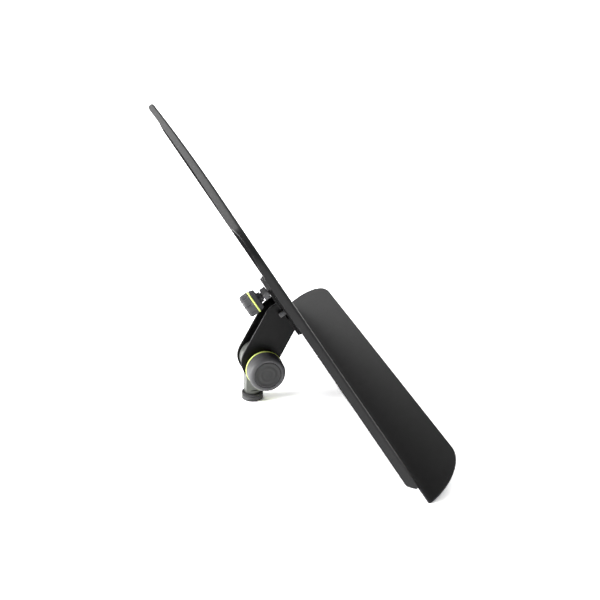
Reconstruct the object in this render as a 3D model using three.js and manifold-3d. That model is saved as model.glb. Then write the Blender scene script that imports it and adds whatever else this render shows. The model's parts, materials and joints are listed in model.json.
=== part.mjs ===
// Desk head of a music stand: a bent sheet-steel desk with a ledge, a sliding rear mount,
// a tilting U-bracket on a short stem, and two clamp knobs.
// Millimetres. +X is the reader's right, +Y points away from the reader, +Z is up.
// The head lies as it would on a table: on the stem's collar and on the desk's lower bend.
import * as THREE from 'three';
import { mergeVertices } from 'three/addons/utils/BufferGeometryUtils.js';
import Module from 'manifold-3d';

const wasm = await Module();
wasm.setup();

// ---- Driving dimensions ----
const GAP = 0.3;                 // air between pieces that touch or turn on each other

const DESK_WIDTH = 500;
const DESK_HEIGHT = 312;         // lower bend to top edge
const DESK_TILT = 32.8;          // degrees back from upright
const SHEET = 1.5;
const DESK_CORNER = 28;          // radius of the two top corners
const RIM_LOW = 8.5;             // depth of the turned-back rim near the ledge
const RIM_HIGH = 6.9;            // its depth at the top
const RIM_START = 21;            // the side rims begin this far above the bend
const RIM_END_RADIUS = 7;
const CORNER_DIP = 3;            // the rim is this much shallower round the top corners

const LEDGE_DEPTH = 47.2;
const LEDGE_RISE = 7;            // degrees that the ledge tips up from square
const LEDGE_CORNER = 45;

const PIVOT_UP = 84.3;           // tilt axis, measured up the desk from the bend
const PIVOT_BACK = 60.1;         // and behind the desk's middle plane

const CHEEK_OUTER = 10.6;        // half the U-bracket's outer width
const CHEEK_SHEET = 2.3;
const CHEEK_INNER = CHEEK_OUTER - CHEEK_SHEET;
const MOUNT_HALF = 19.5;         // half width of the bracket's web and of the slide guide
const MOUNT_LOW = 95;            // ends of the rear mount, measured up the desk
const MOUNT_HIGH = 155.7;

const RAIL_FRONT = SHEET / 2 + GAP;
const RAIL_STEP = 4.2;
const RAIL_BACK = 6.9;
const RAIL_NECK_HALF = 12.5;
const RAIL_HALF = 16.9;
const GUIDE_FRONT = 1.8;         // face of the guide's hooks nearest the desk
const GUIDE_SHEET = 2.2;
const GUIDE_BACK = RAIL_BACK + GAP + GUIDE_SHEET;
const RAIL_LOW = MOUNT_LOW + GUIDE_SHEET + GAP;   // the rail stands on the guide's closed lower end
const WEB_FRONT = GUIDE_BACK + GAP;
const WEB_BACK = WEB_FRONT + CHEEK_SHEET;

const CLAMP_UP = 146.5;          // axis of the desk clamp knob, up the desk
const STUD_RADIUS = 4;
const NUT_FLATS = 13;
const NUT_HEIGHT = 6.5;

const HEAD_RADIUS = 18.5;        // the stem's head is a disc on the tilt axis
const LOBE = { radius: 16.6, back: 4.8, up: 7.4 };   // and a second one, set off from that axis
const HEAD_HALF = 7;
const STEM_RADIUS = 8.4;
const STEM_SETBACK = 8.8;        // the stem stands this far behind the tilt axis
const COLLAR_RADIUS = 11.1;
const COLLAR_HEIGHT = 8;
const SOCKET_RADIUS = 6.3;
const SOCKET_DEPTH = 21;

const TILT_KNOB_RADIUS = 19;
const DESK_KNOB_RADIUS = 12.2;

// ---- Materials ----
const finish = (color, roughness, metalness) =>
  new THREE.MeshStandardMaterial({ color, roughness, metalness });
const powderCoat = finish(0x1d1d1e, 0.5, 0.25);
const blackSteel = finish(0x141414, 0.45, 0.4);
const castGrey = finish(0x8d8e90, 0.5, 0.7);
const zinc = finish(0xa8aaac, 0.35, 0.9);
const brass = finish(0xb08d46, 0.35, 0.9);
const gripPlastic = finish(0x3a3a3d, 0.6, 0);
const capPlastic = finish(0x2c2c2e, 0.55, 0);
const limePlastic = finish(0xc4e85a, 0.45, 0);
const nylon = finish(0x1a1a1a, 0.5, 0);

// ---- Solids ----
const AXIS = {
  x: new THREE.Vector3(1, 0, 0),
  y: new THREE.Vector3(0, 1, 0),
  z: new THREE.Vector3(0, 0, 1),
};

function toManifold(geometry) {
  const bare = geometry.clone();
  bare.deleteAttribute('normal');
  bare.deleteAttribute('uv');
  const merged = mergeVertices(bare, 1e-4);
  const corners = merged.index.array;
  const triangles = [];
  for (let i = 0; i < corners.length; i += 3) {
    const [a, b, c] = [corners[i], corners[i + 1], corners[i + 2]];
    if (a !== b && b !== c && c !== a) triangles.push(a, b, c);
  }
  return new wasm.Manifold(new wasm.Mesh({
    numProp: 3,
    vertProperties: new Float32Array(merged.attributes.position.array),
    triVerts: new Uint32Array(triangles),
  }));
}

function toGeometry(manifold) {
  const mesh = manifold.getMesh();
  const geometry = new THREE.BufferGeometry();
  geometry.setAttribute('position', new THREE.BufferAttribute(new Float32Array(mesh.vertProperties), 3));
  geometry.setIndex(new THREE.BufferAttribute(new Uint32Array(mesh.triVerts), 1));
  geometry.computeVertexNormals();
  return geometry;
}

const combine = (how) => (first, ...others) =>
  toGeometry(others.reduce((body, other) => body[how](toManifold(other)), toManifold(first)));
const cut = combine('subtract');
const join = combine('add');
const overlap = combine('intersect');

// A flat outline in local x and y, made thick from z = low to z = high.
function slab(shape, low, high, curveSegments = 10) {
  const options = { depth: high - low, bevelEnabled: false, curveSegments };
  return new THREE.ExtrudeGeometry(shape, options).translate(0, 0, low);
}

// An outline in local y and z, made thick from x = low to x = high.
function across(shape, low, high, curveSegments = 10) {
  const turn = new THREE.Matrix4().makeBasis(AXIS.y, AXIS.z, AXIS.x);
  return slab(shape, low, high, curveSegments).applyMatrix4(turn);
}

// A profile of [radius, distance] points turned about an axis through the origin.
function turned(profile, axis, segments = 40) {
  const points = profile.map(([radius, along]) => new THREE.Vector2(radius, along));
  const geometry = new THREE.LatheGeometry(points, segments);
  const turn = new THREE.Quaternion().setFromUnitVectors(AXIS.y, axis);
  return geometry.applyQuaternion(turn);
}

const rod = (radius, from, to, axis, segments = 32) =>
  turned([[0, from], [radius, from], [radius, to], [0, to]], axis, segments);

const tube = (inner, outer, from, to, axis, segments = 40) =>
  turned([[inner, from], [outer, from], [outer, to], [inner, to], [inner, from]], axis, segments);

function block([x0, x1], [y0, y1], [z0, z1]) {
  const geometry = new THREE.BoxGeometry(x1 - x0, y1 - y0, z1 - z0);
  return geometry.translate((x0 + x1) / 2, (y0 + y1) / 2, (z0 + z1) / 2);
}

function polygon(points) {
  return new THREE.Shape(points.map(([x, y]) => new THREE.Vector2(x, y)));
}

function hexagon(flats) {
  const corner = flats / Math.sqrt(3);
  const turnOf = (i) => (i * Math.PI) / 3 + Math.PI / 6;
  return polygon([0, 1, 2, 3, 4, 5].map((i) => [corner * Math.cos(turnOf(i)), corner * Math.sin(turnOf(i))]));
}

function roundedPlate(halfWidth, low, high, radius) {
  const shape = new THREE.Shape();
  shape.moveTo(-halfWidth + radius, low);
  shape.lineTo(halfWidth - radius, low);
  shape.absarc(halfWidth - radius, low + radius, radius, -Math.PI / 2, 0);
  shape.absarc(halfWidth - radius, high - radius, radius, 0, Math.PI / 2);
  shape.absarc(-halfWidth + radius, high - radius, radius, Math.PI / 2, Math.PI);
  shape.absarc(-halfWidth + radius, low + radius, radius, Math.PI, 1.5 * Math.PI);
  return shape;
}

function piece(parent, name, geometry, material, position = [0, 0, 0]) {
  const mesh = new THREE.Mesh(geometry, material);
  mesh.name = name;
  mesh.position.set(...position);
  parent.add(mesh);
}

// ---- Desk: one bent sheet ----
// Local frame of the desk: x to the reader's right, y up the desk, z out of its front face.

// The desk's outline above the bend, shrunk by inset, with a square lower end.
function deskOutline(inset, low) {
  const half = DESK_WIDTH / 2 - inset;
  const top = DESK_HEIGHT - inset;
  const radius = DESK_CORNER - inset;
  const shape = new THREE.Shape();
  shape.moveTo(-half, low);
  shape.lineTo(half, low);
  shape.absarc(half - radius, top - radius, radius, 0, Math.PI / 2);
  shape.absarc(-half + radius, top - radius, radius, Math.PI / 2, Math.PI);
  return shape;
}

// The section of the plate, bend and ledge, drawn in the desk's y and z.
function sheetSection() {
  const rise = THREE.MathUtils.degToRad(LEDGE_RISE);
  const half = SHEET / 2;
  const alongLedge = (out, up) => [
    out * Math.sin(rise) + up * Math.cos(rise),
    out * Math.cos(rise) - up * Math.sin(rise),
  ];
  const bend = 2.2;              // outer radius of the bend
  const shape = new THREE.Shape();
  shape.moveTo(DESK_HEIGHT, half);
  shape.lineTo(DESK_HEIGHT, -half);
  shape.lineTo(bend, -half);
  const outerCorner = alongLedge(-half, -half);
  const ledgeStart = alongLedge(bend, -half);
  shape.quadraticCurveTo(outerCorner[0], -half, ledgeStart[0], ledgeStart[1]);
  shape.lineTo(...alongLedge(LEDGE_DEPTH, -half));
  shape.lineTo(...alongLedge(LEDGE_DEPTH, half));
  shape.lineTo(...alongLedge(bend, half));
  shape.quadraticCurveTo(half, half, bend + half, half);
  return shape;
}

function ledgeMask() {
  const half = DESK_WIDTH / 2;
  const shape = new THREE.Shape();
  shape.moveTo(-half, -3);
  shape.lineTo(half, -3);
  shape.absarc(half - LEDGE_CORNER, LEDGE_DEPTH - LEDGE_CORNER, LEDGE_CORNER, 0, Math.PI / 2);
  shape.absarc(-half + LEDGE_CORNER, LEDGE_DEPTH - LEDGE_CORNER, LEDGE_CORNER, Math.PI / 2, Math.PI);
  const mask = slab(shape, -4, 4, 14);
  return mask.rotateX(Math.PI / 2 - THREE.MathUtils.degToRad(LEDGE_RISE));
}

// The turned-back rim: a wall that follows the outline, cut to its changing depth.
function deskRim() {
  const wall = cut(slab(deskOutline(0, 0), -12, 0), slab(deskOutline(SHEET, -1), -13, 1));
  const keep = new THREE.Shape();
  keep.moveTo(RIM_START, 0);
  keep.lineTo(RIM_START, -RIM_LOW + RIM_END_RADIUS);
  keep.quadraticCurveTo(RIM_START, -RIM_LOW, RIM_START + 1.6 * RIM_END_RADIUS, -RIM_LOW);
  keep.lineTo(DESK_HEIGHT + 1, -RIM_HIGH);
  keep.lineTo(DESK_HEIGHT + 1, 0);
  const half = DESK_WIDTH / 2 + 1;
  const rim = overlap(wall, across(keep, -half, half));
  const dipRadius = 105;
  const dips = [-1, 1].map((side) => {
    const toCorner = new THREE.Vector3(side, 1, 0).normalize();
    const roller = rod(dipRadius, -30, 30, toCorner, 96);
    const reach = DESK_CORNER * (1 - Math.SQRT1_2);
    return roller.translate(
      side * (DESK_WIDTH / 2 - reach),
      DESK_HEIGHT - reach,
      -(RIM_HIGH - CORNER_DIP) - dipRadius,
    );
  });
  return cut(rim, ...dips);
}

const RIVETS = [-1, 1].flatMap((side) =>
  [MOUNT_LOW + 7, MOUNT_HIGH - 22].map((up) => [side * 5.2, up]));

function deskPanel() {
  const half = DESK_WIDTH / 2;
  const sheet = across(sheetSection(), -half, half, 6);
  const masks = join(slab(deskOutline(0, -3), -1, 1), ledgeMask());
  const panel = join(overlap(sheet, masks), deskRim());
  const countersink = [
    [0, -3], [2.3, -3], [2.3, 0.3 - SHEET / 2], [3.75, SHEET / 2], [3.75, 3], [0, 3],
  ];
  const holes = RIVETS.map(([x, y]) => turned(countersink, AXIS.z, 24).translate(x, y, 0));
  return cut(panel, ...holes);
}

function rearRail() {
  const neck = block([-RAIL_NECK_HALF, RAIL_NECK_HALF], [RAIL_LOW, MOUNT_HIGH], [-RAIL_STEP - 0.5, -RAIL_FRONT]);
  const bar = slab(roundedPlate(RAIL_HALF, RAIL_LOW, MOUNT_HIGH, 2), -RAIL_BACK, -RAIL_STEP, 4);
  const holes = RIVETS.map(([x, y]) => rod(2.3, -9, 0, AXIS.z, 20).translate(x, y, 0));
  return cut(join(neck, bar), ...holes);
}

// A countersunk rivet, flush with the desk's face.
function rivet() {
  return turned([
    [0, -RAIL_BACK + GAP], [2, -RAIL_BACK + GAP], [2, 0.3 - SHEET / 2], [3.25, SHEET / 2], [0, SHEET / 2],
  ], AXIS.z, 24);
}

const desk = new THREE.Group();
desk.rotation.x = THREE.MathUtils.degToRad(90 - DESK_TILT);
piece(desk, 'desk_panel', deskPanel(), powderCoat);
piece(desk, 'rear_rail', rearRail(), blackSteel);
RIVETS.forEach(([x, y], i) => piece(desk, `rail_rivet_${i + 1}`, rivet(), blackSteel, [x, y, 0]));

// ---- Tilting bracket, in the desk's frame ----
const pivot = [0, PIVOT_UP, -PIVOT_BACK];

// One cheek, drawn in the desk's y and z: a leaning strap with a full round lower end.
function cheekShape() {
  const shape = new THREE.Shape();
  shape.moveTo(98.2, -WEB_FRONT);
  shape.lineTo(135.4, -WEB_FRONT);
  shape.lineTo(135.4, -19);
  shape.quadraticCurveTo(135.4, -23, 132.1, -27.3);
  shape.lineTo(111.3, -65.4);
  shape.quadraticCurveTo(105.3, -78.2, 92, -79.1);
  shape.quadraticCurveTo(76, -80.2, 68.2, -67.6);
  shape.quadraticCurveTo(65.2, -61.5, 70, -52);
  shape.lineTo(82.3, -40.6);
  shape.lineTo(98.2, -12.6);
  return shape;
}

// The web is notched at both sides, where a screw stands on the guide.
const BRACKET_SCREWS = [-1, 1].map((side) => [side * 15.2, 124]);
const NOTCH = { inner: 12.4, low: 118, high: 131.5 };

function uBracket() {
  const web = slab(roundedPlate(MOUNT_HALF, MOUNT_LOW, MOUNT_HIGH, 3), -WEB_BACK, -WEB_FRONT, 5);
  const cheeks = [-1, 1].map((side) => {
    const [low, high] = side > 0 ? [CHEEK_INNER, CHEEK_OUTER] : [-CHEEK_OUTER, -CHEEK_INNER];
    return across(cheekShape(), low, high, 12);
  });
  const boltHole = rod(4.4, -20, 0, AXIS.x).translate(...pivot);
  const squareHole = block([0, 20], [-4.4, 4.4], [-4.4, 4.4]).translate(...pivot);
  const studHole = rod(STUD_RADIUS + 0.6, -20, 0, AXIS.z).translate(0, CLAMP_UP, 0);
  const notches = [[-MOUNT_HALF - 1, -NOTCH.inner], [NOTCH.inner, MOUNT_HALF + 1]].map((sides) =>
    block(sides, [NOTCH.low, NOTCH.high], [-WEB_BACK - 1, -WEB_FRONT + 1]));
  return cut(join(web, ...cheeks), boltHole, squareHole, studHole, ...notches);
}

// A channel that wraps the rail's wide bar, drawn in x and z and run up the desk. A wall closes its
// lower end, and the desk rests on it when it is all the way down.
function slideGuide() {
  const hookBack = RAIL_STEP - GAP;
  const inner = RAIL_NECK_HALF + GAP;
  const wall = RAIL_HALF + GAP;
  const section = polygon([
    [-MOUNT_HALF, -GUIDE_BACK], [MOUNT_HALF, -GUIDE_BACK], [MOUNT_HALF, -GUIDE_FRONT], [inner, -GUIDE_FRONT],
    [inner, -hookBack], [wall, -hookBack], [wall, -RAIL_BACK - GAP], [-wall, -RAIL_BACK - GAP],
    [-wall, -hookBack], [-inner, -hookBack], [-inner, -GUIDE_FRONT], [-MOUNT_HALF, -GUIDE_FRONT],
  ]);
  const up = new THREE.Matrix4().makeBasis(AXIS.x, AXIS.z, AXIS.y.clone().negate());
  const channel = slab(section, -MOUNT_HIGH, -MOUNT_LOW).applyMatrix4(up);
  const endWall = block([-wall, wall], [MOUNT_LOW, MOUNT_LOW + GUIDE_SHEET], [-GUIDE_BACK, -hookBack]);
  const studHole = rod(STUD_RADIUS + 0.6, -20, -RAIL_BACK, AXIS.z).translate(0, CLAMP_UP, 0);
  const screwHoles = BRACKET_SCREWS.map(([x, y]) => rod(1.8, -20, -RAIL_BACK, AXIS.z, 20).translate(x, y, 0));
  return cut(join(channel, endWall), studHole, ...screwHoles);
}

function bracketScrew() {
  const tip = RAIL_BACK + GAP + 0.2;
  const seat = GUIDE_BACK + GAP;
  const shank = rod(1.5, tip, seat + 1, AXIS.z.clone().negate(), 20);
  return join(shank, rod(2.5, seat, WEB_BACK + 4.2, AXIS.z.clone().negate(), 24));
}

piece(desk, 'u_bracket', uBracket(), blackSteel);
piece(desk, 'slide_guide', slideGuide(), blackSteel);
BRACKET_SCREWS.forEach(([x, y], i) =>
  piece(desk, ['bracket_screw_left', 'bracket_screw_right'][i], bracketScrew(), zinc, [x, y, 0]));

const nutBase = WEB_BACK + GAP;
const nut = cut(
  slab(hexagon(NUT_FLATS), -nutBase - NUT_HEIGHT, -nutBase),
  rod(STUD_RADIUS + GAP, -30, 0, AXIS.z),
);
piece(desk, 'clamp_nut', nut, zinc, [0, CLAMP_UP, 0]);

// ---- Tilt clamp, round the tilt axis ----
const outward = AXIS.x.clone().negate();
const tiltClamp = new THREE.Group();
tiltClamp.position.set(...pivot);
desk.add(tiltClamp);

const washerBack = CHEEK_OUTER + GAP;
const knobBack = washerBack + 1 + GAP;

function pivotBolt() {
  const headBase = CHEEK_OUTER + GAP;
  const shank = rod(STUD_RADIUS, -headBase - 1, knobBack + 13, outward);
  const head = turned([
    [0, headBase], [9.4, headBase], [9.2, headBase + 1], [7, headBase + 2.9], [3.5, headBase + 3.9], [0, headBase + 4.2],
  ], AXIS.x, 36);
  const neck = block([CHEEK_INNER + 0.4, headBase + 1], [-4, 4], [-4, 4]);
  return join(shank, head, neck);
}

const disc = (side) => tube(4.4, 17, HEAD_HALF + GAP, CHEEK_INNER - GAP, AXIS.x.clone().multiplyScalar(side));
piece(tiltClamp, 'pivot_bolt', pivotBolt(), zinc);
piece(tiltClamp, 'friction_disc_left', disc(-1), nylon);
piece(tiltClamp, 'friction_disc_right', disc(1), nylon);
piece(tiltClamp, 'tilt_washer', tube(4.4, 10, washerBack, washerBack + 1, outward), zinc);

// A clamp knob built outwards from its back face: base, coloured ring, grip and cap.
// The radii follow the knob's size; lengths are given for each knob.
function knobPieces(parent, prefix, spec, axis) {
  const { radius, back, base, grip, shoulder, bore, neck } = spec;
  const ringBack = back + base;
  const ringFront = ringBack + 1.7;
  const gripFront = ringFront + grip;
  const front = gripFront + shoulder;
  const core = 0.6 * radius;
  const capRadius = 0.72 * radius;
  piece(parent, `${prefix}_base`, turned([
    [bore, back], [neck, back], [neck, back + 0.35 * base], [0.86 * radius, back + 0.45 * base],
    [0.97 * radius, ringBack - 0.3], [core, ringBack - 0.3], [bore, ringBack - 0.3], [bore, back],
  ], axis, 48), gripPlastic);
  piece(parent, `${prefix}_ring`, tube(core + GAP, 1.02 * radius, ringBack, ringFront, axis, 48), limePlastic);
  const floor = ringFront + GAP;
  piece(parent, `${prefix}_grip`, turned([
    [bore, ringBack], [core, ringBack], [core, floor], [radius, floor], [radius, gripFront],
    [0.95 * radius, gripFront + 0.4 * shoulder], [0.8 * radius, front], [capRadius + GAP, front],
    [capRadius + GAP, front - 1.5], [bore, front - 1.5], [bore, ringBack],
  ], axis, 48), gripPlastic);
  piece(parent, `${prefix}_cap`, turned([
    [0, front - 1.5 + GAP], [capRadius, front - 1.5 + GAP], [capRadius, front - 0.3],
    [0.9 * capRadius, front], [0.55 * capRadius, front - 0.3], [0, front - 0.4],
  ], axis, 48), capPlastic);
}

const tiltSpec = { radius: TILT_KNOB_RADIUS, back: knobBack, base: 1.8, grip: 11.4, shoulder: 4.6, bore: 6.6, neck: 15 };
knobPieces(tiltClamp, 'tilt_knob', tiltSpec, outward);
const insert = tube(4.3, 6.3, knobBack + 0.2, knobBack + 13.5, outward, 36);
piece(tiltClamp, 'tilt_knob_insert', insert, brass);

// ---- Desk clamp, behind the desk ----
const backward = AXIS.z.clone().negate();
const deskClamp = new THREE.Group();
deskClamp.position.set(0, CLAMP_UP, 0);
desk.add(deskClamp);

const padTip = RAIL_BACK + GAP;
const studTip = padTip + 1.5 + GAP;
const deskKnobBack = nutBase + NUT_HEIGHT + 1;
const deskSpec = { radius: DESK_KNOB_RADIUS, back: deskKnobBack, base: 9, grip: 6.6, shoulder: 3.6, bore: 4.3, neck: 5.6 };
piece(deskClamp, 'clamp_pad', rod(3.9, padTip, padTip + 1.5, backward, 28), nylon);
piece(deskClamp, 'desk_knob_stud', rod(STUD_RADIUS, studTip, deskKnobBack + 15.5, backward), zinc);
knobPieces(deskClamp, 'desk_knob', deskSpec, backward);

// ---- Stem, upright under the tilt axis ----
desk.updateMatrixWorld(true);
const lowest = new THREE.Box3().setFromObject(desk.getObjectByName('desk_panel'), true).min.z;
const pivotPoint = new THREE.Vector3(...pivot).applyMatrix4(desk.matrixWorld);
const pivotHeight = pivotPoint.z - lowest;

// Local frame of the stem: origin on the tabletop under the tilt axis.
const stem = new THREE.Group();
stem.position.set(0, pivotPoint.y, lowest);

const shankFoot = 0.5;
const fullRoundTop = 11;         // the shank is flatted above this, to pass between the cheeks

function stemBody() {
  const neck = polygon([
    [STEM_SETBACK - STEM_RADIUS, fullRoundTop - 1], [STEM_SETBACK + STEM_RADIUS - 0.5, fullRoundTop - 1],
    [STEM_SETBACK + STEM_RADIUS - 0.5, pivotHeight - 6], [-9, pivotHeight - 12], [-2.5, pivotHeight - 20],
  ]);
  const head = new THREE.Shape().absarc(0, pivotHeight, HEAD_RADIUS, 0, 2 * Math.PI);
  const lobe = new THREE.Shape().absarc(LOBE.back, pivotHeight + LOBE.up, LOBE.radius, 0, 2 * Math.PI);
  const flats = block([-HEAD_HALF, HEAD_HALF], [-40, 40], [fullRoundTop, 40]);
  const shank = rod(STEM_RADIUS, shankFoot, pivotHeight - 8, AXIS.z, 40).translate(0, STEM_SETBACK, 0);
  const roundPart = block([-20, 20], [-40, 40], [-1, fullRoundTop]);
  const body = join(
    overlap(shank, join(roundPart, flats)),
    across(neck, -HEAD_HALF, HEAD_HALF),
    across(head, -HEAD_HALF, HEAD_HALF, 28),
    across(lobe, -HEAD_HALF, HEAD_HALF, 28),
  );
  const boltBore = rod(4.4, -20, 20, AXIS.x).translate(0, 0, pivotHeight);
  const socket = rod(SOCKET_RADIUS, -1, SOCKET_DEPTH, AXIS.z, 32).translate(0, STEM_SETBACK, 0);
  return cut(body, boltBore, socket, grubScrewHole());
}

const GRUB_HEIGHT = 17.5;
const grubAxis = new THREE.Vector3(-1, 1, 0).normalize();

function grubScrewHole() {
  return rod(2.3, 0, 16, grubAxis, 24).translate(0, STEM_SETBACK, GRUB_HEIGHT);
}

function grubScrew() {
  const hexSocket = slab(hexagon(2), -1.6, 1);
  const toScrew = new THREE.Quaternion().setFromUnitVectors(AXIS.z, grubAxis);
  hexSocket.applyQuaternion(toScrew).translate(grubAxis.x * 8, grubAxis.y * 8, 0);
  return cut(rod(2, 4.6, 8, grubAxis, 24), hexSocket);
}

function collar() {
  const grooveRadius = COLLAR_RADIUS - 0.5;
  return turned([
    [STEM_RADIUS + GAP, 0], [COLLAR_RADIUS - 0.6, 0], [COLLAR_RADIUS, 0.6], [COLLAR_RADIUS, 5.2],
    [grooveRadius, 5.6], [grooveRadius, 6.2], [COLLAR_RADIUS, 6.6], [COLLAR_RADIUS, COLLAR_HEIGHT - 0.5],
    [COLLAR_RADIUS - 0.5, COLLAR_HEIGHT], [STEM_RADIUS + GAP, COLLAR_HEIGHT], [STEM_RADIUS + GAP, 0],
  ], AXIS.z, 48);
}

piece(stem, 'stem_body', stemBody(), castGrey);
piece(stem, 'socket_bush', tube(4.2, SOCKET_RADIUS - GAP, 1, 13, AXIS.z, 32), brass, [0, STEM_SETBACK, 0]);
piece(stem, 'knurled_collar', collar(), castGrey, [0, STEM_SETBACK, 0]);
piece(stem, 'grub_screw', grubScrew(), blackSteel, [0, STEM_SETBACK, GRUB_HEIGHT]);

// ---- The whole head, with its origin under the middle of its box ----
const head = new THREE.Group();
head.add(desk, stem);
head.updateMatrixWorld(true);
const box = new THREE.Box3().setFromObject(head, true);
head.position.set(0, -(box.min.y + box.max.y) / 2, -lowest);

export default head;
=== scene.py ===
"""Looks of a music stand's desk head: bent sheet desk, U-bracket, clamp knobs and stem.

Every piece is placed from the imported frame. Local shapes are written in millimetres.
"""

import json
import math

import bmesh
import bpy
import numpy as np
from mathutils import Matrix, Vector


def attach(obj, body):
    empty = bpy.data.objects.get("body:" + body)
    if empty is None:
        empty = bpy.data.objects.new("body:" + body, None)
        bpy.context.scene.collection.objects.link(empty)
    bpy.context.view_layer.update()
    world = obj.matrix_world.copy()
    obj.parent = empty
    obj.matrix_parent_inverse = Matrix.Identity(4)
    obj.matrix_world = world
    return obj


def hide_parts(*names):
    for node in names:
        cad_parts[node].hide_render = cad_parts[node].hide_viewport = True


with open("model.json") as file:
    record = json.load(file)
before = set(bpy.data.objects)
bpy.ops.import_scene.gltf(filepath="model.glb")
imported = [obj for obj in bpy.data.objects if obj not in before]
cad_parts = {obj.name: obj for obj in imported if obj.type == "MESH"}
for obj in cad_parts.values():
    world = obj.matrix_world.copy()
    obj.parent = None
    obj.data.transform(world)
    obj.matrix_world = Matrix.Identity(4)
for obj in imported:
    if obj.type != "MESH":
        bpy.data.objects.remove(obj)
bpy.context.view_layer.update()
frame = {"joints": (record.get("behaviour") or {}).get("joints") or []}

MM = 0.001
TAU = 2 * math.pi
GAP = 0.3
SHEET = 1.5

# ---------------------------------------------------------------- places, from the record
JOINTS = {joint["name"]: joint for joint in frame["joints"]}
X = Vector((1, 0, 0))
H = Vector(JOINTS["desk_slide"]["axis"]).normalized()      # up the desk
N = X.cross(H)                                             # out of the desk's front
PIVOT = Vector(JOINTS["desk_tilt"]["pos_m"])
PIVOT_UP, PIVOT_BACK = 84.3, 60.1                          # the tilt axis in the desk's frame
BEND = PIVOT - H * PIVOT_UP * MM + N * PIVOT_BACK * MM     # middle of the lower bend


def place(origin, x_axis, y_axis, z_axis):
    """A matrix from local millimetres to the frame's metres."""
    matrix = Matrix.Identity(4)
    for i, axis in enumerate((x_axis, y_axis, z_axis)):
        for j in range(3):
            matrix[j][i] = axis[j] * MM
    matrix.translation = origin
    return matrix


def desk_point(x, up, out):
    return BEND + (X * x + H * up + N * out) * MM


DESK = place(BEND, X, H, N)
DESK_SIDE = place(BEND, H, N, X)                 # outline in (up, out), thickness along x
TILT = place(PIVOT, N, H, -X)                    # lathe axis points out of the big knob
CLAMP_UP = 146.5
CLAMP = place(desk_point(0, CLAMP_UP, 0), X, -H, -N)
STEM_BACK = 8.8
UP = Vector((0, 0, 1))
FORE = Vector((0, 1, 0))
STEM_FOOT = Vector((0, PIVOT.y, 0))
STEM_SIDE = place(STEM_FOOT, FORE, UP, X)        # outline in (y, z), thickness along x
STEM = place(STEM_FOOT + FORE * STEM_BACK * MM, X, FORE, UP)
PIVOT_HEIGHT = PIVOT.z / MM


# ---------------------------------------------------------------- materials
def shader(name, color, roughness, metallic=0.0, specular=0.5, grain=(900, 0.12, 0.0002),
           mottle=(60, 0.12)):
    """Principled material with procedural grain: colour mottling, uneven gloss and a fine bump.

    grain is (scale, roughness swing, bump depth in metres); mottle is (scale, brightness swing).
    """
    made = bpy.data.materials.new(name)
    made.use_nodes = True
    nodes, links = made.node_tree.nodes, made.node_tree.links
    bsdf = nodes["Principled BSDF"]
    bsdf.inputs["Metallic"].default_value = metallic
    bsdf.inputs["Specular IOR Level"].default_value = specular
    surface = nodes.new("ShaderNodeTexCoord").outputs["Object"]
    fine = nodes.new("ShaderNodeTexNoise")
    fine.inputs["Scale"].default_value = grain[0]
    fine.inputs["Detail"].default_value = 3.0
    links.new(surface, fine.inputs["Vector"])
    wide = nodes.new("ShaderNodeTexNoise")
    wide.inputs["Scale"].default_value = mottle[0]
    wide.inputs["Detail"].default_value = 4.0
    links.new(surface, wide.inputs["Vector"])

    tint = nodes.new("ShaderNodeValToRGB")
    low, high = 1 - mottle[1], 1 + mottle[1]
    tint.color_ramp.elements[0].position = 0.3
    tint.color_ramp.elements[1].position = 0.7
    tint.color_ramp.elements[0].color = [*(c * low for c in color), 1]
    tint.color_ramp.elements[1].color = [*(min(1, c * high) for c in color), 1]
    links.new(wide.outputs["Fac"], tint.inputs["Fac"])
    links.new(tint.outputs["Color"], bsdf.inputs["Base Color"])

    gloss = nodes.new("ShaderNodeMapRange")
    gloss.inputs["To Min"].default_value = max(0.03, roughness - grain[1])
    gloss.inputs["To Max"].default_value = min(1.0, roughness + grain[1])
    links.new(fine.outputs["Fac"], gloss.inputs["Value"])
    links.new(gloss.outputs["Result"], bsdf.inputs["Roughness"])

    bump = nodes.new("ShaderNodeBump")
    bump.inputs["Strength"].default_value = 0.6
    bump.inputs["Distance"].default_value = grain[2]
    links.new(fine.outputs["Fac"], bump.inputs["Height"])
    links.new(bump.outputs["Normal"], bsdf.inputs["Normal"])
    return made


powder_coat = shader("powder_coat", (0.0085, 0.0085, 0.009), 0.42, specular=0.22,
                     grain=(1500, 0.08, 0.00006))
black_steel = shader("black_steel", (0.004, 0.004, 0.0042), 0.34, specular=0.16,
                     grain=(1300, 0.08, 0.00004))
cast_grey = shader("cast_grey", (0.11, 0.115, 0.105), 0.42, metallic=0.6,
                   grain=(1800, 0.12, 0.00008))
collar_grey = shader("collar_grey", (0.055, 0.055, 0.057), 0.38, metallic=0.5,
                     grain=(1800, 0.12, 0.00005))
zinc = shader("zinc", (0.5, 0.5, 0.51), 0.3, metallic=0.95, grain=(1200, 0.1, 0.00003))
black_zinc = shader("black_zinc", (0.09, 0.09, 0.093), 0.35, metallic=0.6,
                    grain=(1200, 0.1, 0.00003))
brass = shader("brass", (0.62, 0.43, 0.16), 0.3, metallic=0.95, grain=(1200, 0.1, 0.00003))
grip = shader("grip", (0.062, 0.062, 0.065), 0.5, grain=(1600, 0.1, 0.00008))
cap = shader("cap", (0.015, 0.015, 0.0155), 0.5, grain=(1600, 0.1, 0.00006))
lime = shader("lime", (0.84, 0.98, 0.25), 0.35, grain=(1200, 0.06, 0.00002), mottle=(80, 0.04))
nylon = shader("nylon", (0.015, 0.015, 0.015), 0.5)


# ---------------------------------------------------------------- mesh helpers
def finish_piece(obj, body, replaced, material):
    """Gives a new piece its material and its body, and hides the CAD nodes that it stands for."""
    obj.data.materials.clear()
    obj.data.materials.append(material)
    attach(obj, body)
    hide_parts(*replaced)


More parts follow.
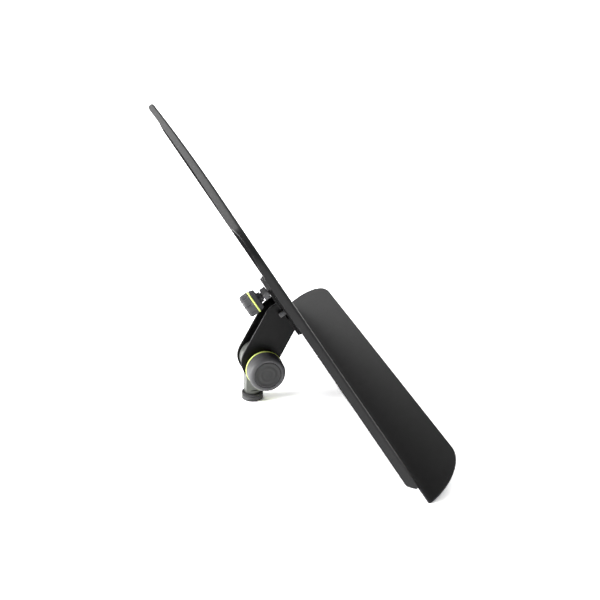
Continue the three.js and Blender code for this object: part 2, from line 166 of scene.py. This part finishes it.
def mesh_object(name, verts, faces, matrix, smooth=35):
    """A mesh from points in local millimetres, merged where they coincide, shaded smooth."""
    mesh = bpy.data.meshes.new(name)
    mesh.from_pydata([tuple(matrix @ Vector(v)) for v in verts], [], faces)
    work = bmesh.new()
    work.from_mesh(mesh)
    bmesh.ops.remove_doubles(work, verts=work.verts, dist=2e-6)
    bmesh.ops.recalc_face_normals(work, faces=work.faces)
    work.to_mesh(mesh)
    work.free()
    mesh.shade_smooth()
    mesh.set_sharp_from_angle(angle=math.radians(smooth))
    obj = bpy.data.objects.new(name, mesh)
    bpy.context.scene.collection.objects.link(obj)
    return obj


def joined(name, *objs):
    """Several new objects as one."""
    with bpy.context.temp_override(active_object=objs[0], selected_editable_objects=list(objs)):
        bpy.ops.object.join()
    objs[0].name = name
    return objs[0]


def rounded(points, radius, closed=True, steps=4):
    """A polyline with its corners rounded. A point may carry its own radius as a third value."""
    out = []
    count = len(points)
    for i, point in enumerate(points):
        here = np.array(point[:2], float)
        if not closed and i in (0, count - 1):
            out.append(tuple(here))
            continue
        before = np.array(points[i - 1][:2], float) - here
        after = np.array(points[(i + 1) % count][:2], float) - here
        lengths = np.linalg.norm(before), np.linalg.norm(after)
        before, after = before / lengths[0], after / lengths[1]
        angle = math.acos(max(-1.0, min(1.0, float(before @ after))))
        want = point[2] if len(point) > 2 else radius
        if want <= 0 or angle > math.radians(178):
            out.append(tuple(here))
            continue
        reach = min(want / math.tan(angle / 2), 0.48 * min(lengths))
        real = reach * math.tan(angle / 2)
        toward = before + after
        toward /= np.linalg.norm(toward)
        centre = here + toward * real / math.sin(angle / 2)
        start, end = here + before * reach - centre, here + after * reach - centre
        a0, a1 = math.atan2(start[1], start[0]), math.atan2(end[1], end[0])
        swing = (a1 - a0 + math.pi) % TAU - math.pi
        count_here = max(steps, int(abs(swing) / math.radians(12)))
        for k in range(count_here + 1):
            a = a0 + swing * k / count_here
            out.append((centre[0] + real * math.cos(a), centre[1] + real * math.sin(a)))
    return out


def arc(cx, cy, radius, start, end, steps=24):
    """Points of an arc, angles in degrees."""
    return [
        (cx + radius * math.cos(math.radians(start + (end - start) * k / steps)),
         cy + radius * math.sin(math.radians(start + (end - start) * k / steps)))
        for k in range(steps + 1)
    ]


def circle(cx, cy, radius, steps=48):
    return arc(cx, cy, radius, 0, 360, steps)[:-1]


def turned(name, profile, matrix, segments=96, shape=None, closed=False, smooth=32):
    """A profile of (radius, along) turned round local z.

    shape(angle, radius, along) may change a radius. A closed profile runs back to its start.
    """
    verts, faces = [], []
    rows = len(profile)
    for k in range(segments):
        angle = TAU * k / segments
        for radius, along in profile:
            r = shape(angle, radius, along) if shape and radius > 0 else radius
            verts.append((r * math.cos(angle), r * math.sin(angle), along))
    steps = rows if closed else rows - 1
    for k in range(segments):
        n = (k + 1) % segments
        for i in range(steps):
            j = (i + 1) % rows
            faces.append((k * rows + i, n * rows + i, n * rows + j, k * rows + j))
    return mesh_object(name, verts, faces, matrix, smooth)


def plate(name, outline, low, high, matrix, holes=(), bevel=0.4, resolution=3):
    """A flat plate from an outline, with rounded edges, standing from low to high on local z."""
    curve = bpy.data.curves.new(name, "CURVE")
    curve.dimensions = "2D"
    curve.fill_mode = "BOTH"
    curve.extrude = (high - low) / 2 - bevel
    curve.bevel_depth = bevel
    curve.bevel_resolution = resolution
    curve.offset = -bevel
    for loop in (outline, *holes):
        spline = curve.splines.new("POLY")
        spline.points.add(len(loop) - 1)
        for point, (x, y) in zip(spline.points, loop):
            point.co = (x, y, 0, 1)
        spline.use_cyclic_u = True
    holder = bpy.data.objects.new(name, curve)
    bpy.context.scene.collection.objects.link(holder)
    bpy.context.view_layer.update()
    evaluated = holder.evaluated_get(bpy.context.evaluated_depsgraph_get())
    flat = evaluated.to_mesh()
    verts = [(v.co.x, v.co.y, v.co.z + (low + high) / 2) for v in flat.vertices]
    faces = [tuple(p.vertices) for p in flat.polygons]
    evaluated.to_mesh_clear()
    bpy.data.objects.remove(holder)
    bpy.data.curves.remove(curve)
    obj = mesh_object(name, verts, faces, matrix, smooth=40)
    weighted = obj.modifiers.new("weighted", "WEIGHTED_NORMAL")
    weighted.keep_sharp = True
    return obj


def hexagonal(flats):
    """A shape for turned() that cuts six flats."""
    def radius_at(angle, radius, _along):
        turn = (angle + math.pi / 6) % (math.pi / 3) - math.pi / 6
        return min(radius, flats / 2 / math.cos(turn))
    return radius_at


# ---------------------------------------------------------------- the desk's bent sheet
DESK_HALF, DESK_TOP, DESK_CORNER = 250.0, 312.0, 28.0
RIM_LOW, RIM_HIGH, RIM_START, RIM_DIP = 8.5, 6.9, 21.0, 3.0
RIM_TAPER, RIM_CUT = 10.0, 6.1          # the rim's lower end: its length, and how much is cut off
RIM_FINE = 11.2                        # rows stand closer together on this stretch of the rim
RIM_EVEN = 32.0                        # from here up the depth changes evenly
DIP_SPREAD = 210.0                     # the greater, the longer the shallow stretch at a corner
LEDGE_DEPTH, LEDGE_CORNER = 47.2, 45.0
LEDGE_RISE = math.radians(7)
BEND_RADIUS = 2.0                      # middle of the sheet, at the rims and the ledge
BOW = 2.0                              # the top edge stands this far forward at mid width


def rim_depth(x, up):
    """How far back the rim's free edge is, from the sheet's middle."""
    share = max(0.0, min(1.0, (up - RIM_EVEN) / (DESK_TOP - RIM_EVEN)))
    straight = RIM_LOW + (RIM_HIGH - RIM_LOW) * share
    if up < RIM_START + RIM_TAPER:
        straight = RIM_LOW - RIM_CUT * (1 - max(0.0, (up - RIM_START) / RIM_TAPER)) ** 1.5
    reach = DESK_CORNER * (1 - math.sqrt(0.5))
    across = (up - (DESK_TOP - reach) - (abs(x) - (DESK_HALF - reach))) / math.sqrt(2)
    dip = RIM_HIGH - RIM_DIP + across ** 2 / DIP_SPREAD
    return max(BEND_RADIUS + 0.4, min(straight, dip))


def sheet_rows():
    """Rows across the sheet, from the ledge's free edge up to the desk's top.

    Each is (half width of the flat part, up, out, angle of the edge from sideways). The angle is
    None where the edge has no rim.
    """
    inner = DESK_HALF - SHEET / 2 - BEND_RADIUS
    rows = []
    for k in range(16, -1, -1):
        a = math.pi / 2 * k / 16
        deep = LEDGE_DEPTH - LEDGE_CORNER + LEDGE_CORNER * math.sin(a)
        half = DESK_HALF - LEDGE_CORNER + LEDGE_CORNER * math.cos(a)
        rows.append((half * inner / DESK_HALF, deep * math.sin(LEDGE_RISE),
                     deep * math.cos(LEDGE_RISE), None))

    turn = math.pi / 2 + LEDGE_RISE
    for k in range(1, 10):
        still_to_turn = turn * (1 - k / 9)
        rows.append((inner, BEND_RADIUS * (math.tan(turn / 2) - math.sin(still_to_turn)),
                     BEND_RADIUS * (1 - math.cos(still_to_turn)), None))
    rows += [(inner, up, 0.0, None) for up in (6, 10, 14, RIM_START - 1.5)]

    rows += [(inner, RIM_START + RIM_FINE * (k / 8) ** 2, 0.0, 0.0) for k in range(9)]
    straight_start, straight_end = RIM_START + RIM_FINE, DESK_TOP - DESK_CORNER
    rows += [(inner, straight_start + (straight_end - straight_start) * k / 20, 0.0, 0.0)
             for k in range(1, 21)]
    corner = DESK_CORNER - SHEET / 2 - BEND_RADIUS
    for k in range(1, 13):
        a = math.pi / 2 * k / 12
        rows.append((inner - corner * (1 - math.cos(a)), straight_end + corner * math.sin(a),
                     0.0, a))
    return rows


def rim_section(depth):
    """The rim's section as (sideways, back), from where it leaves the flat part."""
    angles = [math.pi / 2 * j / 6 for j in range(1, 7)]
    bend = [(BEND_RADIUS * math.sin(a), BEND_RADIUS * (1 - math.cos(a))) for a in angles]
    return bend + [(BEND_RADIUS, BEND_RADIUS + (depth - BEND_RADIUS) * j / 4) for j in range(1, 5)]


def desk_sheet():
    """Plate, ledge and rims as the sheet's middle surface, which a modifier then thickens."""
    rows = sheet_rows()
    columns = [math.sin(math.pi * (k / 40 - 0.5)) for k in range(41)]
    verts, faces = [], []

    def add(x, up, out):
        if out < 20 and up > 3:            # on the plate and its rims, not on the ledge
            out += BOW * (1 - (x / DESK_HALF) ** 2) * (up / DESK_TOP) ** 1.5
        verts.append((x, up, out))
        return len(verts) - 1

    grid = [[add(column * half, up, out) for column in columns] for half, up, out, _ in rows]
    for low, high in zip(grid, grid[1:]):
        for k in range(len(columns) - 1):
            faces.append((low[k], low[k + 1], high[k + 1], high[k]))

    # plain edges beside the ledge and under the rims
    widen = DESK_HALF / (DESK_HALF - SHEET / 2 - BEND_RADIUS)
    for sign, column in ((-1, 0), (1, -1)):
        strip = [(row[column], add(sign * half * widen, up, out))
                 for row, (half, up, out, edge) in zip(grid, rows) if edge is None]
        for (a, b), (c, d) in zip(strip, strip[1:]):
            faces.append((a, b, d, c))

    # rims: up the left, over the top, down the right
    rimmed = [(row, half, up, edge) for row, (half, up, _, edge) in zip(grid, rows)
              if edge is not None]
    top_half, top_up = rows[-1][:2]
    loop = [(row[0], -half, up, -math.cos(edge), math.sin(edge)) for row, half, up, edge in rimmed]
    loop += [(grid[-1][k], columns[k] * top_half, top_up, 0.0, 1.0)
             for k in range(1, len(columns) - 1)]
    loop += [(row[-1], half, up, math.cos(edge), math.sin(edge))
             for row, half, up, edge in reversed(rimmed)]
    lines = []
    for start, x, up, side_x, side_up in loop:
        depth = rim_depth(x + side_x * BEND_RADIUS, up + side_up * BEND_RADIUS)
        lines.append([start] + [add(x + side_x * out, up + side_up * out, -back)
                                for out, back in rim_section(depth)])
    for one, two in zip(lines, lines[1:]):
        for j in range(len(one) - 1):
            faces.append((one[j], two[j], two[j + 1], one[j + 1]))

    obj = mesh_object("desk_sheet", verts, faces, DESK, smooth=50)
    thick = obj.modifiers.new("thickness", "SOLIDIFY")
    thick.thickness = SHEET * MM
    thick.offset = 0
    thick.use_even_offset = True
    edges = obj.modifiers.new("edges", "BEVEL")
    edges.width = 0.3 * MM
    edges.segments = 2
    edges.limit_method = "ANGLE"
    edges.angle_limit = math.radians(50)
    edges.harden_normals = True
    return obj


finish_piece(desk_sheet(), "desk", ["desk_panel"], powder_coat)

# ---------------------------------------------------------------- rear mount
MOUNT_HALF, MOUNT_LOW, MOUNT_HIGH = 19.5, 95.0, 155.7
RAIL_BACK, RAIL_STEP, RAIL_HALF, RAIL_NECK = 6.9, 4.2, 16.9, 12.5
GUIDE_FRONT, GUIDE_BACK = 1.8, 9.4
WEB_FRONT, WEB_BACK = 9.7, 12.0
CHEEK_OUTER, CHEEK_SHEET = 10.6, 2.3
RIVETS = [(side * 5.2, up) for side in (-1, 1) for up in (MOUNT_LOW + 7, MOUNT_HIGH - 22)]
SCREWS = [("bracket_screw_left", -15.2), ("bracket_screw_right", 15.2)]
SCREW_UP = 124.0
NOTCH_INNER, NOTCH_LOW, NOTCH_HIGH = 12.4, 118.0, 131.5    # the web's notches at the screws
BORE = 4.4                             # holes on the tilt axis
STUD = 4.0
NUT_FLATS, NUT_HEIGHT = 13.0, 6.5


def box_outline(half, low, high, radius):
    return rounded([(-half, low), (half, low), (half, high), (-half, high)], radius, steps=6)


def rail():
    """A bar on a narrower neck, which the guide's hooks reach behind."""
    bar = plate("rail", box_outline(RAIL_HALF, MOUNT_LOW + 2.5, MOUNT_HIGH, 2),
                -RAIL_BACK, -RAIL_STEP, DESK)
    neck = plate("neck", box_outline(RAIL_NECK, MOUNT_LOW + 2.5, MOUNT_HIGH, 0.6),
                 -RAIL_STEP - 0.5, -SHEET / 2 - GAP, DESK, bevel=0.2)
    return joined("rail_bar", bar, neck)


finish_piece(rail(), "desk", ["rear_rail"], black_steel)

rivet_profile = rounded([
    (0, -RAIL_BACK + GAP), (2, -RAIL_BACK + GAP), (2, 0.3), (3.25, SHEET / 2),
    (2.9, SHEET / 2 + 0.12), (0, SHEET / 2 + 0.15),
], 0.05, closed=False)
for index, (x, up) in enumerate(RIVETS, 1):
    rivet = turned(f"rivet_{index}", rivet_profile,
                   place(desk_point(x, up, BOW * (up / DESK_TOP) ** 1.5), X, H, N), segments=48)
    finish_piece(rivet, "desk", [f"rail_rivet_{index}"], black_steel)


def guide():
    """A folded channel round the rail: back, two hooked sides and a closed lower end."""
    hook = RAIL_STEP - GAP
    back = WEB_FRONT - 0.05            # against the bracket's web
    inner, wall = RAIL_NECK + GAP, RAIL_HALF + GAP
    half = [(0, -back, 0), (MOUNT_HALF, -back, 0.5), (MOUNT_HALF, -GUIDE_FRONT, 1.2),
            (inner, -GUIDE_FRONT, 0.3), (inner, -hook, 0.3), (wall, -hook, 0.6),
            (wall, -RAIL_BACK - GAP, 0.6), (0, -RAIL_BACK - GAP, 0)]
    section = half + [(-x, z, r) for x, z, r in reversed(half[1:-1])]
    matrix = place(BEND, X, N, H)
    channel = plate("channel", rounded(section, 0.4), MOUNT_LOW, MOUNT_HIGH, matrix, bevel=0.3)
    lip = plate("lip", [(-wall, -GUIDE_BACK), (wall, -GUIDE_BACK), (wall, -hook), (-wall, -hook)],
                MOUNT_LOW, MOUNT_LOW + 2.2, matrix, bevel=0.25)
    return joined("guide_channel", channel, lip)


finish_piece(guide(), "bracket", ["slide_guide"], black_steel)


def quadratic(start, control, end, steps=10):
    """Points of a quadratic curve, without its start."""
    out = []
    for k in range(1, steps + 1):
        t = k / steps
        out.append(tuple((1 - t) ** 2 * a + 2 * t * (1 - t) * b + t * t * c
                         for a, b, c in zip(start, control, end)))
    return out


def cheek_path():
    """The cheek's outline in (up, out), with its round lower end."""
    points = [(98.2, -WEB_FRONT + 0.5), (135.4, -WEB_FRONT + 0.5), (135.4, -19)]
    points += quadratic((135.4, -19), (135.4, -23), (132.1, -27.3))
    points += [(111.3, -65.4)] + quadratic((111.3, -65.4), (105.3, -78.2), (92, -79.1))
    points += quadratic((92, -79.1), (76, -80.2), (68.2, -67.6))
    points += quadratic((68.2, -67.6), (65.2, -61.5), (70, -52), 6)
    points += [(82.3, -40.6), (98.2, -12.6)]
    return points


def bracket():
    """A notched web with two cheeks. The cheek on the +X side has the bolt's square hole."""
    right_side = [(MOUNT_HALF, MOUNT_LOW, 2), (MOUNT_HALF, NOTCH_LOW, 0.8),
                  (NOTCH_INNER, NOTCH_LOW, 0.8), (NOTCH_INNER, NOTCH_HIGH, 0.8),
                  (MOUNT_HALF, NOTCH_HIGH, 0.8), (MOUNT_HALF, MOUNT_HIGH, 2)]
    outline = rounded(right_side + [(-x, up, r) for x, up, r in reversed(right_side)], 1)
    web = plate("web", outline, -WEB_BACK, -WEB_FRONT, DESK,
                holes=[circle(0, CLAMP_UP, 4.6)], bevel=0.35)
    parts = [web]
    for side in (-1, 1):
        outer, inner = side * CHEEK_OUTER, side * (CHEEK_OUTER - CHEEK_SHEET)
        if side < 0:
            hole = circle(PIVOT_UP, -PIVOT_BACK, BORE)
        else:
            hole = [(PIVOT_UP + a * BORE, -PIVOT_BACK + b * BORE)
                    for a, b in ((-1, -1), (1, -1), (1, 1), (-1, 1))]
        parts.append(plate("cheek", cheek_path(), min(outer, inner), max(outer, inner), DESK_SIDE,
                           holes=[hole], bevel=0.35))
    return joined("u_bracket_body", *parts)


finish_piece(bracket(), "bracket", ["u_bracket"], black_steel)

screw_seat, screw_end = WEB_FRONT + 0.02, WEB_BACK + 4.2
for name, x in SCREWS:
    matrix = place(desk_point(x, SCREW_UP, 0), X, -H, -N)
    screw = turned(name + "_head", rounded([
        (0, RAIL_BACK + 0.5), (1.5, RAIL_BACK + 0.5), (1.5, screw_seat), (2.5, screw_seat),
        (2.5, screw_end, 0.45), (1.35, screw_end), (1.2, screw_end - 2), (0, screw_end - 2),
    ], 0.1, closed=False), matrix, segments=48)
    finish_piece(screw, "bracket", [name], black_zinc)

nut_base = WEB_BACK + GAP
nut_corner = NUT_FLATS / math.sqrt(3)
nut = turned("clamp_hex_nut", [
    (STUD + 0.35, nut_base), (nut_corner - 0.9, nut_base), (nut_corner, nut_base + 0.5),
    (nut_corner, nut_base + NUT_HEIGHT - 0.5), (nut_corner - 0.9, nut_base + NUT_HEIGHT),
    (STUD + 0.9, nut_base + NUT_HEIGHT), (STUD + 0.35, nut_base + NUT_HEIGHT - 0.6),
], CLAMP, segments=96, shape=hexagonal(NUT_FLATS), closed=True, smooth=25)
finish_piece(nut, "bracket", ["clamp_nut"], black_zinc)


# ---------------------------------------------------------------- knobs
RING_WIDTH = 1.7
CAP_RECESS = 1.5


def knob(prefix, matrix, body, radius, back, base, grip_length, shoulder, bore, neck, flutes):
    """Base, lime ring, grip and dished cap, from back to front. flutes is (count, depth)."""
    ring_back = back + base
    ring_front = ring_back + RING_WIDTH
    grip_front = ring_front + grip_length
    front = grip_front + shoulder
    core, cap_radius = 0.6 * radius, 0.72 * radius
    count, depth = flutes

    def fluted(angle, r, along):
        if r < 0.9 * radius or along < ring_front:
            return r
        fade = min(1.0, max(0.0, (along - ring_front - 0.8) / 2.0))
        wave = max(0.0, math.cos(count * angle)) ** 6
        return r - depth * wave * fade

    base_piece = turned(f"{prefix}_skirt", rounded([
        (bore, back), (neck, back), (neck, back + 0.35 * base),
        (0.86 * radius, back + 0.45 * base, 1),
        (0.97 * radius, ring_back - 0.3, 0.4), (bore, ring_back - 0.3),
    ], 0.3), matrix, closed=True)
    finish_piece(base_piece, body, [f"{prefix}_base"], grip)

    ring = turned(f"{prefix}_band", rounded([
        (core + GAP, ring_back), (1.02 * radius, ring_back, 0.5),
        (1.02 * radius, ring_front, 0.5), (core + GAP, ring_front),
    ], 0.1), matrix, segments=128, closed=True)
    finish_piece(ring, body, [f"{prefix}_ring"], lime)

    floor = ring_front + GAP
    side = [(radius, floor + 0.35)] + [
        (radius, floor + 0.35 + (grip_front - floor - 0.35) * k / 8) for k in range(1, 9)]
    dome = [(radius - 0.2 * radius * (1 - math.cos(a)), grip_front + shoulder * math.sin(a))
            for a in (math.pi / 2 * k / 10 for k in range(1, 11))]
    body_piece = turned(f"{prefix}_body", [
        (bore, ring_back), (core, ring_back), (core, floor), (radius - 0.35, floor),
        *side, *dome,
        (cap_radius + GAP + 0.2, front), (cap_radius + GAP, front - 0.2),
        (cap_radius + GAP, front - CAP_RECESS), (bore, front - CAP_RECESS),
    ], matrix, segments=192, shape=fluted, closed=True)
    finish_piece(body_piece, body, [f"{prefix}_grip"], grip)

    # the cap's face is a dish with one low ring round a raised middle
    seat = front - CAP_RECESS + GAP
    face = [(cap_radius * (0.9 - 0.9 * k / 48),
              front - 0.2 - 0.28 * math.sin(math.pi * k / 96) ** 0.5
              + 0.12 * math.cos(TAU * k / 20) * math.exp(-(k / 30) ** 4)) for k in range(49)]
    cap_piece = turned(f"{prefix}_disc", [
        (0, seat), (cap_radius, seat), (cap_radius, front - 0.45),
        (cap_radius - 0.12, front - 0.2), (cap_radius - 0.4, front - 0.08), *face,
    ], matrix, segments=128, smooth=40)
    finish_piece(cap_piece, body, [f"{prefix}_cap"], cap)


washer_back = CHEEK_OUTER + GAP
knob_back = washer_back + 1 + GAP
knob("tilt_knob", TILT, "tilt_knob", radius=19.0, back=knob_back, base=1.8, grip_length=11.4,
     shoulder=4.6, bore=6.6, neck=15.0, flutes=(0, 0.0))
desk_knob_back = nut_base + NUT_HEIGHT + 1
knob("desk_knob", CLAMP, "desk_knob", radius=12.2, back=desk_knob_back, base=9.0,
     grip_length=6.6, shoulder=3.6, bore=4.3, neck=5.6, flutes=(9, 1.0))


THREAD_PITCH, THREAD_DEPTH = 1.25, 0.5


def threaded(name, matrix, start, end):
    """A rod with a helical thread, and chamfered ends."""
    rows = int((end - start) / THREAD_PITCH * 8)
    first, last = start + 0.4, end - 0.4

    def thread(angle, r, along):
        if r < STUD - 0.01 or not first < along < last:
            return r
        phase = (along / THREAD_PITCH - angle / TAU) % 1.0
        return r - THREAD_DEPTH * abs(2 * phase - 1)

    profile = [(0, start), (STUD - THREAD_DEPTH, start)]
    profile += [(STUD, first + (end - start - 0.8) * k / rows) for k in range(rows + 1)]
    profile += [(STUD - THREAD_DEPTH, end), (0, end)]
    return turned(name, profile, matrix, segments=48, shape=thread, smooth=60)


finish_piece(threaded("desk_knob_thread", CLAMP, RAIL_BACK + 2.1, desk_knob_back + 15.5),
             "desk_knob", ["desk_knob_stud"], black_zinc)
pad_face = RAIL_BACK + GAP
finish_piece(turned("clamp_pad_tip", rounded([
    (0, pad_face), (3.9, pad_face, 0.4), (3.9, pad_face + 1.5), (0, pad_face + 1.5),
], 0.15, closed=False), CLAMP, segments=48), "pad", ["clamp_pad"], nylon)

# ---------------------------------------------------------------- tilt axis
bolt_shank = threaded("shank", TILT, -CHEEK_OUTER, knob_back + 13)
head_base = CHEEK_OUTER + GAP
bolt_head = turned("head", rounded([
    (0, head_base), (9.4, head_base, 0.3), (9.2, head_base + 1, 0.6), (7, head_base + 2.9, 4),
    (3.5, head_base + 3.9, 6), (0, head_base + 4.2),
], 0.2, closed=False), place(PIVOT, N, H, X), segments=72)
square = plate("square", [(-4, -4), (4, -4), (4, 4), (-4, 4)], CHEEK_OUTER - CHEEK_SHEET + 0.4,
               head_base + 1, place(PIVOT, H, N, X), bevel=0.2)
finish_piece(joined("pivot_bolt_body", bolt_shank, bolt_head, square),
             "bracket", ["pivot_bolt"], zinc)

HEAD_HALF = 7.0
for side, node in ((-1, "friction_disc_left"), (1, "friction_disc_right")):
    disc = turned(node + "_face", rounded([
        (BORE, HEAD_HALF + GAP), (17, HEAD_HALF + GAP), (17, CHEEK_OUTER - CHEEK_SHEET - GAP),
        (BORE, CHEEK_OUTER - CHEEK_SHEET - GAP),
    ], 0.1), place(PIVOT, N, H, X * side), closed=True)
    finish_piece(disc, "bracket", [node], nylon)

washer = turned("tilt_washer_plate", rounded([
    (BORE, washer_back), (10, washer_back), (10, washer_back + 1), (BORE, washer_back + 1),
], 0.15), TILT, closed=True)
finish_piece(washer, "washer", ["tilt_washer"], zinc)
insert = turned("tilt_knob_bushing", rounded([
    (4.3, knob_back + 0.2), (6.3, knob_back + 0.2), (6.3, knob_back + 13.5),
    (4.3, knob_back + 13.5),
], 0.2), TILT, closed=True)
finish_piece(insert, "tilt_knob", ["tilt_knob_insert"], brass)

# ---------------------------------------------------------------- stem
HEAD_RADIUS, STEM_RADIUS, COLLAR, COLLAR_HEIGHT = 18.5, 8.4, 11.1, 8.0
LOBE_RADIUS, LOBE_BACK, LOBE_UP = 16.6, 4.8, 7.4
SOCKET, SOCKET_DEPTH, SHANK_TOP = 6.3, 21.0, 11.0


def stem_outline():
    """Head disc with its upper lobe, waist and flatted shank in (y, z)."""
    z = PIVOT_HEIGHT
    right, left = STEM_BACK + STEM_RADIUS - 0.3, STEM_BACK - STEM_RADIUS + 0.2
    points = [(left, SHANK_TOP - 1.5), (right, SHANK_TOP - 1.5)]
    points += arc(0, z, HEAD_RADIUS, -24, -6.7, 6)
    points += arc(LOBE_BACK, z + LOBE_UP, LOBE_RADIUS, -34, 148, 40)
    points += arc(0, z, HEAD_RADIUS, 121, 256, 32)
    points += [(-2.5, z - 20.4), (left, z - 24.5)]
    return points


def stem():
    """The flat head and waist on a round shank with a socket."""
    body = plate("stem_flat", stem_outline(), -HEAD_HALF, HEAD_HALF, STEM_SIDE,
                 holes=[circle(0, PIVOT_HEIGHT, BORE)], bevel=1.0, resolution=4)
    shank = turned("stem_round", rounded([
        (SOCKET, 0.5, 0.2), (STEM_RADIUS, 0.5, 0.6), (STEM_RADIUS, SHANK_TOP, 1.2),
        (0, SHANK_TOP + 2), (0, SOCKET_DEPTH), (SOCKET, SOCKET_DEPTH),
    ], 0.2), STEM, closed=True)
    return joined("stem_casting", body, shank)


finish_piece(stem(), "stem", ["stem_body"], cast_grey)

KNURL_PITCH = 1.8


def knurl(angle, radius, along):
    """Diamond knurling on the collar's two outer bands."""
    if radius < COLLAR - 0.05 or not (0.7 < along < 5.1 or 6.7 < along < 7.4):
        return radius
    around, level = angle * COLLAR / KNURL_PITCH, along / KNURL_PITCH
    one = abs((around + level) % 1.0 - 0.5)
    two = abs((around - level) % 1.0 - 0.5)
    return radius - 0.55 * max(0.0, 1 - 2.2 * min(one, two))


KNURL_TURNS = round(TAU * COLLAR / KNURL_PITCH)
COLLAR_STEPS = [0.6 + 4.6 * k / 18 for k in range(19)]
collar_profile = [
    (STEM_RADIUS + GAP, 0), (COLLAR - 0.6, 0), *[(COLLAR, z) for z in COLLAR_STEPS],
    (COLLAR - 0.5, 5.6), (COLLAR - 0.5, 6.2), *[(COLLAR, 6.6 + 0.9 * k / 4) for k in range(5)],
    (COLLAR - 0.5, COLLAR_HEIGHT), (STEM_RADIUS + GAP, COLLAR_HEIGHT),
]
finish_piece(turned("collar_ring", collar_profile, STEM, segments=KNURL_TURNS * 6, shape=knurl,
                    closed=True, smooth=45), "stem", ["knurled_collar"], collar_grey)
finish_piece(turned("stem_bush", rounded([
    (4.2, 1), (SOCKET - GAP, 1), (SOCKET - GAP, 13), (4.2, 13)], 0.3), STEM, closed=True),
    "stem", ["socket_bush"], brass)
GRUB_HEIGHT = 17.5
grub_axis = Vector((-1, 1, 0)).normalized()
grub_matrix = place(STEM @ Vector((0, 0, GRUB_HEIGHT)), UP, grub_axis.cross(UP), grub_axis)
grub = turned("stem_grub", [
    (0, 4.6), (1.7, 4.6), (2, 4.9), (2, 7.7), (1.7, 8),
    (1.15, 8), (1.0, 7.8), (1.0, 6.4), (0, 6.4),
], grub_matrix, segments=48)
finish_piece(grub, "stem", ["grub_screw"], black_steel)

# ---------------------------------------------------------------- floor, light and camera
floor_mesh = bpy.data.meshes.new("floor")
floor_mesh.from_pydata([(-12, -12, 0), (12, -12, 0), (12, 12, 0), (-12, 12, 0)], [],
                       [(0, 1, 2, 3)])
floor = bpy.data.objects.new("floor", floor_mesh)
bpy.context.scene.collection.objects.link(floor)
FLOOR_GLOW = 0.02
FLOOR_LAYERS = 4                       # added diffuse layers: more than one returns extra light


def bright_paper():
    """A high-key floor: overlit paper, so only the tightest contact shadows stay below white."""
    made = bpy.data.materials.new("paper")
    made.use_nodes = True
    nodes, links = made.node_tree.nodes, made.node_tree.links
    nodes.remove(nodes["Principled BSDF"])
    glow = nodes.new("ShaderNodeEmission")
    glow.inputs["Color"].default_value = (1, 1, 1, 1)
    glow.inputs["Strength"].default_value = FLOOR_GLOW
    total = glow.outputs["Emission"]
    for _ in range(FLOOR_LAYERS):
        layer = nodes.new("ShaderNodeBsdfDiffuse")
        layer.inputs["Color"].default_value = (0.9, 0.9, 0.9, 1)
        both = nodes.new("ShaderNodeAddShader")
        links.new(total, both.inputs[0])
        links.new(layer.outputs["BSDF"], both.inputs[1])
        total = both.outputs["Shader"]
    links.new(total, nodes["Material Output"].inputs["Surface"])
    return made


floor_mesh.materials.append(bright_paper())

world = bpy.data.worlds.new("studio")
world.use_nodes = True
world.node_tree.nodes["Background"].inputs["Color"].default_value = (1, 1, 1, 1)
world.node_tree.nodes["Background"].inputs["Strength"].default_value = 0.4
bpy.context.scene.world = world


def softbox(name, location, target, width, height, power):
    light = bpy.data.lights.new(name, "AREA")
    light.shape = "RECTANGLE"
    light.size, light.size_y, light.energy = width, height, power
    holder = bpy.data.objects.new(name, light)
    holder.location = location
    holder.rotation_euler = (Vector(target) - Vector(location)).to_track_quat("-Z", "Y").to_euler()
    bpy.context.scene.collection.objects.link(holder)


softbox("key", (0.0, 1.4, 0.3), (0, 0, 0.05), 0.7, 0.5, 28)
softbox("far", (1.6, 0.7, 0.8), (0, 0, 0.1), 1.4, 0.9, 7)
softbox("top", (0, 0, 2.2), (0, 0, 0), 2.0, 2.0, 8)
softbox("near", (-1.7, -0.8, 1.2), (0, 0, 0.1), 1.2, 1.0, 0.3)

# The camera stands to the desk's left, in the plane of the plate, looking slightly down.
yaw, pitch, roll = math.radians(-15.277), math.radians(21.221), math.radians(1.138)
forward = Vector((math.cos(pitch) * math.cos(yaw), math.cos(pitch) * math.sin(yaw),
                  -math.sin(pitch)))
right = forward.cross(UP).normalized()
above = right.cross(forward)
right_rolled = math.cos(roll) * right + math.sin(roll) * above
above_rolled = -math.sin(roll) * right + math.cos(roll) * above
camera_data = bpy.data.cameras.new("camera")
camera_data.lens = 81
camera_data.sensor_width = 36
camera_data.clip_start, camera_data.clip_end = 0.05, 60
camera = bpy.data.objects.new("camera", camera_data)
turn = Matrix((right_rolled, above_rolled, -forward)).transposed().to_4x4()
camera.matrix_world = Matrix.Translation(BEND + Vector((-1.240877, 0.394667, 0.604344))) @ turn
bpy.context.scene.collection.objects.link(camera)
bpy.context.scene.camera = camera
bpy.context.scene.view_settings.view_transform = "Standard"
